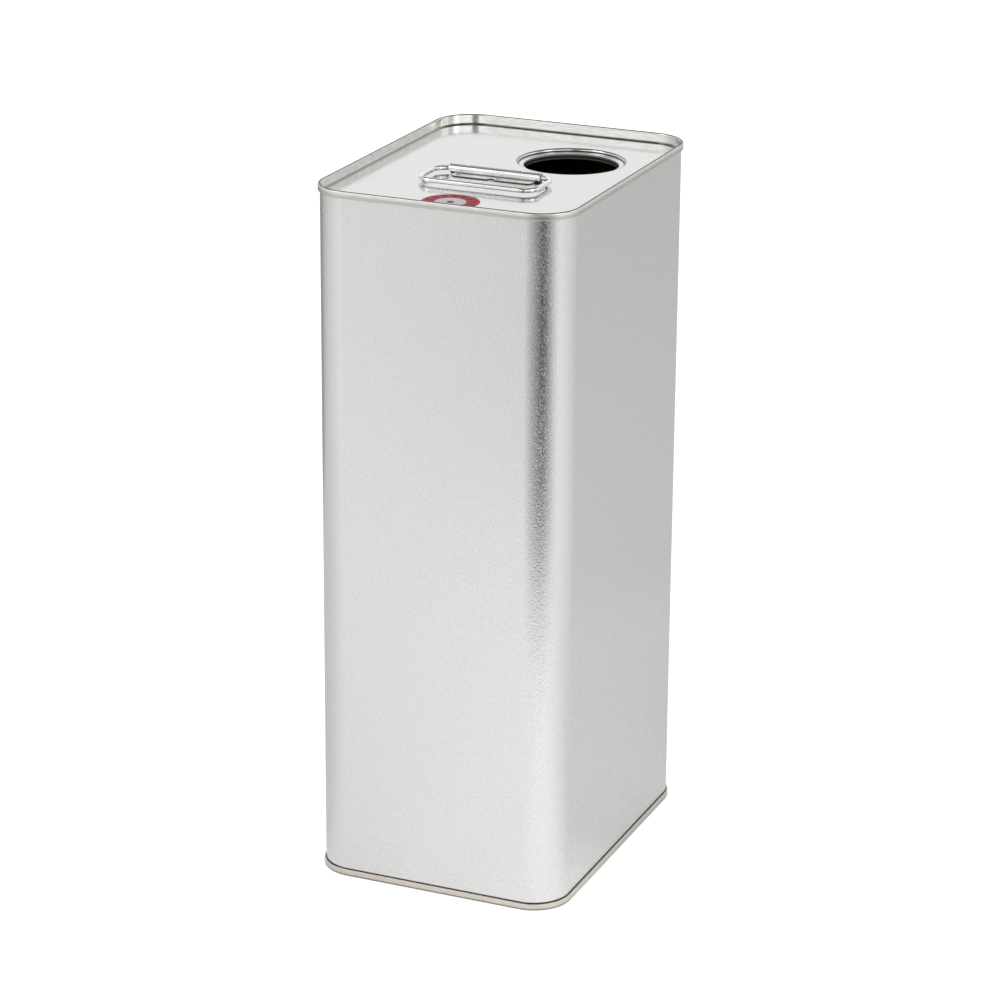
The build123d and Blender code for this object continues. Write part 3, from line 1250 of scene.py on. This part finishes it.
@dataclass(frozen=True)
class EndFinish(Finish):
    """Smooth tinplate of the ends: warm seams with painted shade, streaked walls, painted dark lines of shade
    and reflection, and a darker bottom edge on the base.
    """

    mark_size: float = 45.0
    neck: NeckFinish = field(default_factory=NeckFinish)
    printed: LidPrint = field(default_factory=LidPrint)
    fine: float = 1300.0
    broad: float = 180.0
    stretch: Triple = (1.0, 0.3, 1.0)
    streaked: float = 0.4
    rolled_fine: float = 1500.0
    rolled_broad: float = 420.0
    rolled_stretch: Triple = (0.12, 0.12, 1.0)
    wall_start: Span = (-0.0009, -0.0007)
    wall: Colour = (0.84, 0.83, 0.8)
    wall_streaks: float = 0.4
    seam_start: Span = (-0.0005, -0.0002)
    seam: Colour = (0.86, 0.845, 0.815)
    base_seam: Colour = (0.71, 0.66, 0.595)
    # Dark end of the streaks on walls and seams, and the tone of the painted shade on the seams.
    seam_streak_and_shade: Colour = (0.4, 0.38, 0.345)
    # Painted shade on the seams: the top seam's lower part and the base seam's bottom edge.
    top_shaded: Span = (0.0011, 0.0019)
    base_shaded: Span = (0.0016, 0.0007)
    shaded: float = 0.55
    seam_streaks: float = 0.25
    seam_rough: float = 0.2
    wear_reach: float = 0.0012
    wear_size: float = 420.0
    worn: float = 0.3
    wear_tone: Colour = (0.4, 0.38, 0.34)
    # Tone of the dark lines: painted shade and reflection, and the base's darker bottom edge.
    line_tone: Colour = (0.05, 0.045, 0.04)
    # The base seam darker along its bottom edge.
    bottom_darkening_edge: Span = (0.001, 0.0006)
    bottom_darkening: float = 0.6
    # Painted dark reflection on the crown, painted shade at the foot of the lid's wall and on the curl.
    crown_middle: float = 0.00015
    crown_reach: Span = (0.0005, 0.00042)
    crown_edge: Span = (0.00024, 0.00016)
    crown_dark_reflection: float = 0.95
    foot_low: Span = (0.0, 0.0001)
    foot_high: Span = (0.0008, 0.0006)
    foot_start: Span = (-0.0016, -0.0013)
    wall_foot_shade: float = 0.65
    curl_shade_out: Span = (0.0003, 0.00012)
    curl_shade_edge: Span = (0.0022, 0.0027)
    neck_dull: float = 0.75
    dull_rough: float = 0.3
    dull_specular: float = 0.15

    def lay(self, coat: Coat) -> tuple[Input, Socket]:
        """Lays its tones, and gives how metallic it is and the height of its bumps."""
        height, grain = coat.grain(self.stretch, self.fine, self.broad)
        seam = coat.smooth(coat.out, *self.seam_start)
        coat.tint(grain, self.dark, self.streaked)
        wall, seam_tone_and_shade = self._rolled(coat)
        coat.tint(coat.smooth(coat.out, *self.wall_start), wall)
        # The seams' tone, painted shade included.
        coat.tint(seam, seam_tone_and_shade)
        # Painted dark lines of shade and reflection, and the base's darker bottom edge.
        coat.tint(self._lines(coat), self.line_tone)
        coat.tint(coat.wear(self.wear_reach, self.wear_size), self.wear_tone, self.worn)
        inner = self.neck.lay(coat)
        disc = self.printed.lay(coat)
        unmetallic = coat.plus(coat.times(inner, self.neck_dull), disc)
        coat.dull(seam, self.seam_rough)
        coat.dull(unmetallic, self.dull_rough)
        coat.shader.inputs["Specular IOR Level"].default_value = self.dull_specular
        return coat.minus(1.0, unmetallic, clamp=True), height

    def _rolled(self, coat: Coat) -> tuple[Socket, Socket]:
        """Builds the two tones of rolled metal, the seams' one with painted shade.

        Args:
            coat: The coat that they are for.

        Returns:
            Colour of the recess walls, and of the seams with their painted shade.
        """
        streaks = coat.grain(self.rolled_stretch, self.rolled_fine, self.rolled_broad)[1]
        wall = coat.mix(coat.times(streaks, self.wall_streaks), self.wall, self.seam_streak_and_shade)
        seam_tone_and_shade = coat.mix(coat.low_half, self.seam, self.base_seam)
        # Painted shade: the top seam darker over its lower part, the base seam darker towards its bottom
        # edge.
        top, base = coat.smooth(coat.edge, *self.top_shaded), coat.smooth(coat.edge, *self.base_shaded)
        shaded = coat.times(coat.blend(coat.low_half, top, base), self.shaded)
        seam_tone_and_shade = coat.mix(shaded, seam_tone_and_shade, self.seam_streak_and_shade)
        return wall, coat.mix(coat.times(streaks, self.seam_streaks), seam_tone_and_shade, self.seam_streak_and_shade)

    def _lines(self, coat: Coat) -> Socket:
        """Masks the dark lines: a painted dark reflection on the crown, painted shade at the foot of the
        lid's wall and on the end of the curl beside the body, and a darker bottom edge on the base.

        Args:
            coat: The coat that they are for.

        Returns:
            The mask.
        """
        # Painted dark reflection along the middle of each seam's crown.
        middle = coat.math("ABSOLUTE", coat.minus(coat.out, self.crown_middle))
        crown = coat.times(coat.smooth(middle, *self.crown_reach), coat.smooth(coat.edge, *self.crown_edge))
        # Painted shade in the bend at the foot of the lid's recess wall.
        low, high = (coat.rise(coat.z, SIZES.lid_level, ends) for ends in (self.foot_low, self.foot_high))
        foot = coat.times(coat.times(low, high), coat.smooth(coat.out, *self.foot_start))
        # Darker along the base seam's bottom edge.
        bottom_darkening = coat.times(coat.low_half, coat.smooth(coat.edge, *self.bottom_darkening_edge))
        # Painted shade on each seam's curl, in the narrow gap beside the body.
        curl = coat.times(coat.smooth(coat.out, *self.curl_shade_out), coat.smooth(coat.edge, *self.curl_shade_edge))
        curl = coat.times(curl, coat.math("GREATER_THAN", coat.out, 0.0))
        lines = coat.most(coat.times(crown, self.crown_dark_reflection), coat.times(foot, self.wall_foot_shade))
        return coat.most(coat.most(lines, coat.times(bottom_darkening, self.bottom_darkening)), curl)


@dataclass(frozen=True)
class SteelFinish(Finish):
    """Tinned steel of the bracket, the wire and the welds, with fine drawing lines and dull patches."""

    fine: float = 1500.0
    stretch: Triple = (0.2, 1.0, 1.0)
    patched: float = 0.2
    streaked: float = 0.15
    metallic: float = 1.0
    shaded_below: float = 0.0
    foot_rise: Span = (0.0001, 0.0006)
    foot_metallic: float = 0.3
    shade_rise: Span = (0.0, -0.00008)
    shade: float = 0.95
    shade_tone: Colour = (0.02, 0.02, 0.018)

    def lay(self, coat: Coat) -> tuple[Input, Socket]:
        """Lays its tones, and gives how metallic it is and the height of its bumps."""
        height, grain = coat.grain(self.stretch, self.fine, self.mark_size)
        coat.tint(coat.smudges, self.dark, self.patched)
        coat.tint(grain, self.dark, self.streaked)
        metallic = self.metallic
        if self.shaded_below:
            lifted = coat.rise(coat.z, self.shaded_below, self.foot_rise)
            metallic = coat.blend(lifted, self.foot_metallic, metallic)
            shade = coat.rise(coat.z, self.shaded_below, self.shade_rise)
            coat.tint(shade, self.shade_tone, self.shade)
        return metallic, height


@dataclass(frozen=True)
class CompoundFinish(Finish):
    """Rubbery sealing compound inside the seams."""

    mark_size: float = 400.0
    grit: float = 900.0

    def lay(self, coat: Coat) -> tuple[Input, Socket]:
        """Lays its tones, and gives how metallic it is and the height of its bumps."""
        coat.tint(coat.smudges, self.dark)
        return 0.0, coat.noise(coat.place, self.grit)


# Studio


@dataclass(frozen=True)
class Surround:
    """What the metal mirrors, by compass turn: the floor near and far, the sky low down and above.

    The closeness scales distances on the floor, so that it turns from near to far sooner or later.
    """

    floor_near: Stops = (
        (-180, 0.72), (-160, 0.78), (-122, 0.95), (-110, 1.0), (-98, 1.07), (-45, 1.16), (-28, 1.1),
        (-14, 1.0), (12, 0.9), (30, 0.88), (48, 0.85), (68, 0.74), (150, 0.71), (180, 0.72),
    )
    floor_far: Stops = (
        (-180, 0.68), (-166, 0.82), (-119, 1.01), (-107, 0.84), (-95, 0.62), (-80, 0.42), (-67, 0.22),
        (-58, 0.05), (-50, 0.24), (-37, 0.52), (-27, 0.84), (-16, 1.05), (4, 0.96), (38, 0.84), (60, 0.72),
        (68, 0.69), (118, 0.69), (132, 0.6), (143, 0.36), (154, 0.3), (163, 0.5), (171, 0.68), (180, 0.68),
    )
    low_sky: Stops = (
        (-180, 0.8), (-114, 1.2), (-107, 1.35), (-93, 1.35), (-84, 0.42), (-72, 0.34), (-65, 1.4),
        (-15, 1.45), (-7, 0.9), (12, 0.9), (19, 1.3), (42, 1.2), (54, 0.86), (68, 0.84), (98, 0.95),
        (130, 0.96), (160, 0.8), (180, 0.8),
    )
    closeness: Stops = (
        (-180, 0.75), (-104, 0.75), (-88, 1.0), (-30, 1.0), (0, 1.3), (60, 1.5), (120, 1.5), (135, 1.0),
        (160, 1.0), (172, 0.75), (180, 0.75),
    )
    ceiling: Stops = ((-180, 0.22), (-140, 0.12), (20, 0.12), (70, 0.36), (150, 0.36), (180, 0.22))
    overhead: float = 0.8
    near: float = 0.475
    far: float = 0.58
    fall: Span = (0.5, 1.25)
    fallen: float = 0.94
    ceiling_start: Span = (0.48, 0.62)
    overhead_start: Span = (0.972, 0.99)

    def on_floor(self, graph: Graph, place: Socket) -> Socket:
        """Gives the mirrored brightness of the floor at a place."""
        x, y, _ = graph.split(place)
        turn = self._turn(graph, x, y)
        reach = graph.length(x, y)
        away = graph.smooth(graph.times(reach, graph.ramp(turn, self.closeness)), self.near, self.far)
        floor = graph.blend(away, graph.ramp(turn, self.floor_near), graph.ramp(turn, self.floor_far))
        return graph.times(floor, graph.smooth(reach, *self.fall, 1.0, self.fallen))

    def in_sky(self, graph: Graph, direction: Socket) -> Socket:
        """Gives the mirrored brightness of the sky in a direction."""
        x, y, z = graph.split(direction)
        turn = self._turn(graph, x, y)
        low, ceiling = graph.ramp(turn, self.low_sky), graph.ramp(turn, self.ceiling)
        sky = graph.blend(graph.smooth(z, *self.ceiling_start), low, ceiling)
        return graph.blend(graph.smooth(z, *self.overhead_start), sky, self.overhead)

    @staticmethod
    def _turn(graph: Graph, x: Socket, y: Socket) -> Socket:
        """Gives the compass turn of a direction, from 0 at -X round through -Y to 1."""
        return graph.plus(graph.math("DIVIDE", graph.math("ARCTAN2", y, x), 2 * math.pi), 0.5)


@dataclass(frozen=True)
class Lamp:
    """A soft box: an area lamp that points at the tin."""

    name: str
    place: Triple
    size: Span
    power: float
    aim: Triple = (0.0, 0.0, 0.2)

    def build(self) -> None:
        """Builds the lamp."""
        light = bpy.data.lights.new(self.name, "AREA")
        light.shape = "RECTANGLE"
        light.size, light.size_y = self.size
        light.energy = self.power
        lamp = add_object(self.name, light)
        lamp.location = self.place
        lamp.rotation_euler = (Vector(self.aim) - Vector(self.place)).to_track_quat("-Z", "Y").to_euler()


@dataclass(frozen=True)
class Studio:
    """Floor, sky, soft boxes and the camera of the photograph."""

    camera_place: Triple = (0.589505, -1.390325, 0.695805)
    camera_right: Triple = (0.9194018, 0.393258, 0.0069692)
    camera_up: Triple = (-0.137186, 0.3040217, 0.9427358)
    camera_back: Triple = (0.3686196, -0.8677091, 0.3334675)
    lens: float = 127.479
    sensor: float = 36.0
    clip: Span = (0.05, 50.0)
    floor_size: float = 12.0
    floor_colour: float = 0.8
    floor_lift: float = 0.6
    mirrored_lift: float = 0.3
    sky_plain: float = 0.72
    sky_shown: float = 1.0
    surround: Surround = field(default_factory=Surround)
    lamps: tuple[Lamp, ...] = (
        Lamp("key_box", (-1.1, -1.0, 1.5), (0.9, 0.9), 5.0),
        Lamp("side_box", (1.5, -0.3, 1.2), (0.6, 1.0), 2.5),
    )

    def build(self) -> None:
        """Builds the whole studio."""
        self._camera()
        self._floor()
        self._sky()
        for lamp in self.lamps:
            lamp.build()
        bpy.context.scene.view_settings.view_transform = "Standard"

    def _camera(self) -> None:
        """Puts the camera where the photograph was taken from."""
        data = bpy.data.cameras.new("camera")
        data.lens, data.sensor_width = self.lens, self.sensor
        data.clip_start, data.clip_end = self.clip
        camera = add_object("camera", data)
        axes = Matrix((self.camera_right, self.camera_up, self.camera_back)).transposed().to_4x4()
        camera.matrix_world = Matrix.Translation(self.camera_place) @ axes
        bpy.context.scene.camera = camera

    @staticmethod
    def _rays(graph: Graph) -> tuple[Socket, Socket]:
        """Gives 1 for rays from the camera or through glass, and 1 for rays off a shiny face."""
        path = graph.node("ShaderNodeLightPath").outputs
        seen = graph.math("ADD", path["Is Camera Ray"], path["Is Transmission Ray"], clamp=True)
        return seen, path["Is Glossy Ray"]

    def _floor(self) -> None:
        """Builds the white floor, which keeps the tin's shadow."""
        material, tree, shader = new_material("white_floor")
        graph = Graph(tree)
        seen, mirrored = self._rays(graph)
        pattern = self.surround.on_floor(graph, graph.node("ShaderNodeTexCoord").outputs["Object"])
        plain = graph.blend(mirrored, self.floor_colour, graph.times(pattern, self.floor_colour))
        graph.put(shader.inputs["Base Color"], graph.grey(plain))
        shader.inputs["Roughness"].default_value = 1.0
        shader.inputs["Specular IOR Level"].default_value = 0.0
        shader.inputs["Emission Color"].default_value = WHITE
        shown, lifted = graph.times(seen, self.floor_lift), graph.times(pattern, self.mirrored_lift)
        graph.put(shader.inputs["Emission Strength"], graph.blend(mirrored, shown, lifted))
        bm = bmesh.new()
        bmesh.ops.create_grid(bm, x_segments=1, y_segments=1, size=self.floor_size / 2)
        floor = add_object("floor", mesh_of("floor", bm, material))

    def _sky(self) -> None:
        """Builds the white surround, plain to the camera and structured to shiny faces."""
        world = bpy.data.worlds.new("surround")
        world.use_nodes = True
        graph = Graph(world.node_tree)
        background = next(n for n in world.node_tree.nodes if n.type == "BACKGROUND")
        background.inputs["Color"].default_value = WHITE
        seen, mirrored = self._rays(graph)
        plain = graph.blend(seen, self.sky_plain, self.sky_shown)
        pattern = self.surround.in_sky(graph, graph.node("ShaderNodeTexCoord").outputs["Generated"])
        graph.put(background.inputs["Strength"], graph.blend(mirrored, plain, pattern))
        bpy.context.scene.world = world


def main() -> None:
    """Builds the tin, its handle and the studio in order."""
    logging.basicConfig(level=logging.INFO, format="%(name)s %(message)s")
    Studio().build()
    effects = Effects()
    bracket = HandleBracket()
    body_metal = BodyFinish(
        "bare_tinplate", colour=(0.77, 0.772, 0.758), dark=(0.66, 0.662, 0.65), roughness=0.1, bump=0.00012
    )
    end_metal = EndFinish(
        "end_tinplate", colour=(0.78, 0.785, 0.78), dark=(0.72, 0.725, 0.72), roughness=0.12, bump=0.000004
    )
    strip = SteelFinish(
        "tinned_strip",
        colour=(0.96, 0.96, 0.945),
        dark=(0.42, 0.41, 0.39),
        roughness=0.1,
        bump=0.000008,
        smudge=0.06,
        metallic=0.95,
        shaded_below=bracket.lid_level + bracket.shaded_edge,
    )
    wire = SteelFinish(
        "drawn_wire",
        colour=(0.93, 0.93, 0.92),
        dark=(0.6, 0.6, 0.59),
        roughness=0.07,
        bump=0.000004,
        smudge=0.05,
    )
    welded = SteelFinish(
        "welded_steel",
        colour=(0.3, 0.29, 0.28),
        dark=(0.1, 0.09, 0.08),
        roughness=0.3,
        bump=0.00002,
        smudge=0.15,
    )
    compound = CompoundFinish(
        "seam_compound",
        colour=(0.16, 0.15, 0.14),
        dark=(0.1, 0.09, 0.08),
        roughness=0.6,
        bump=0.00005,
        smudge=0.2,
    )
    weld = welded.build(effects)
    TinBody().dress(body_metal.build(effects), weld)
    TinEnds().dress(end_metal.build(effects), compound.build(effects))
    bracket.dress(strip.build(effects), weld)
    CarryingRing().dress(bracket, wire.build(effects))


if __name__ == "__main__":
    main()
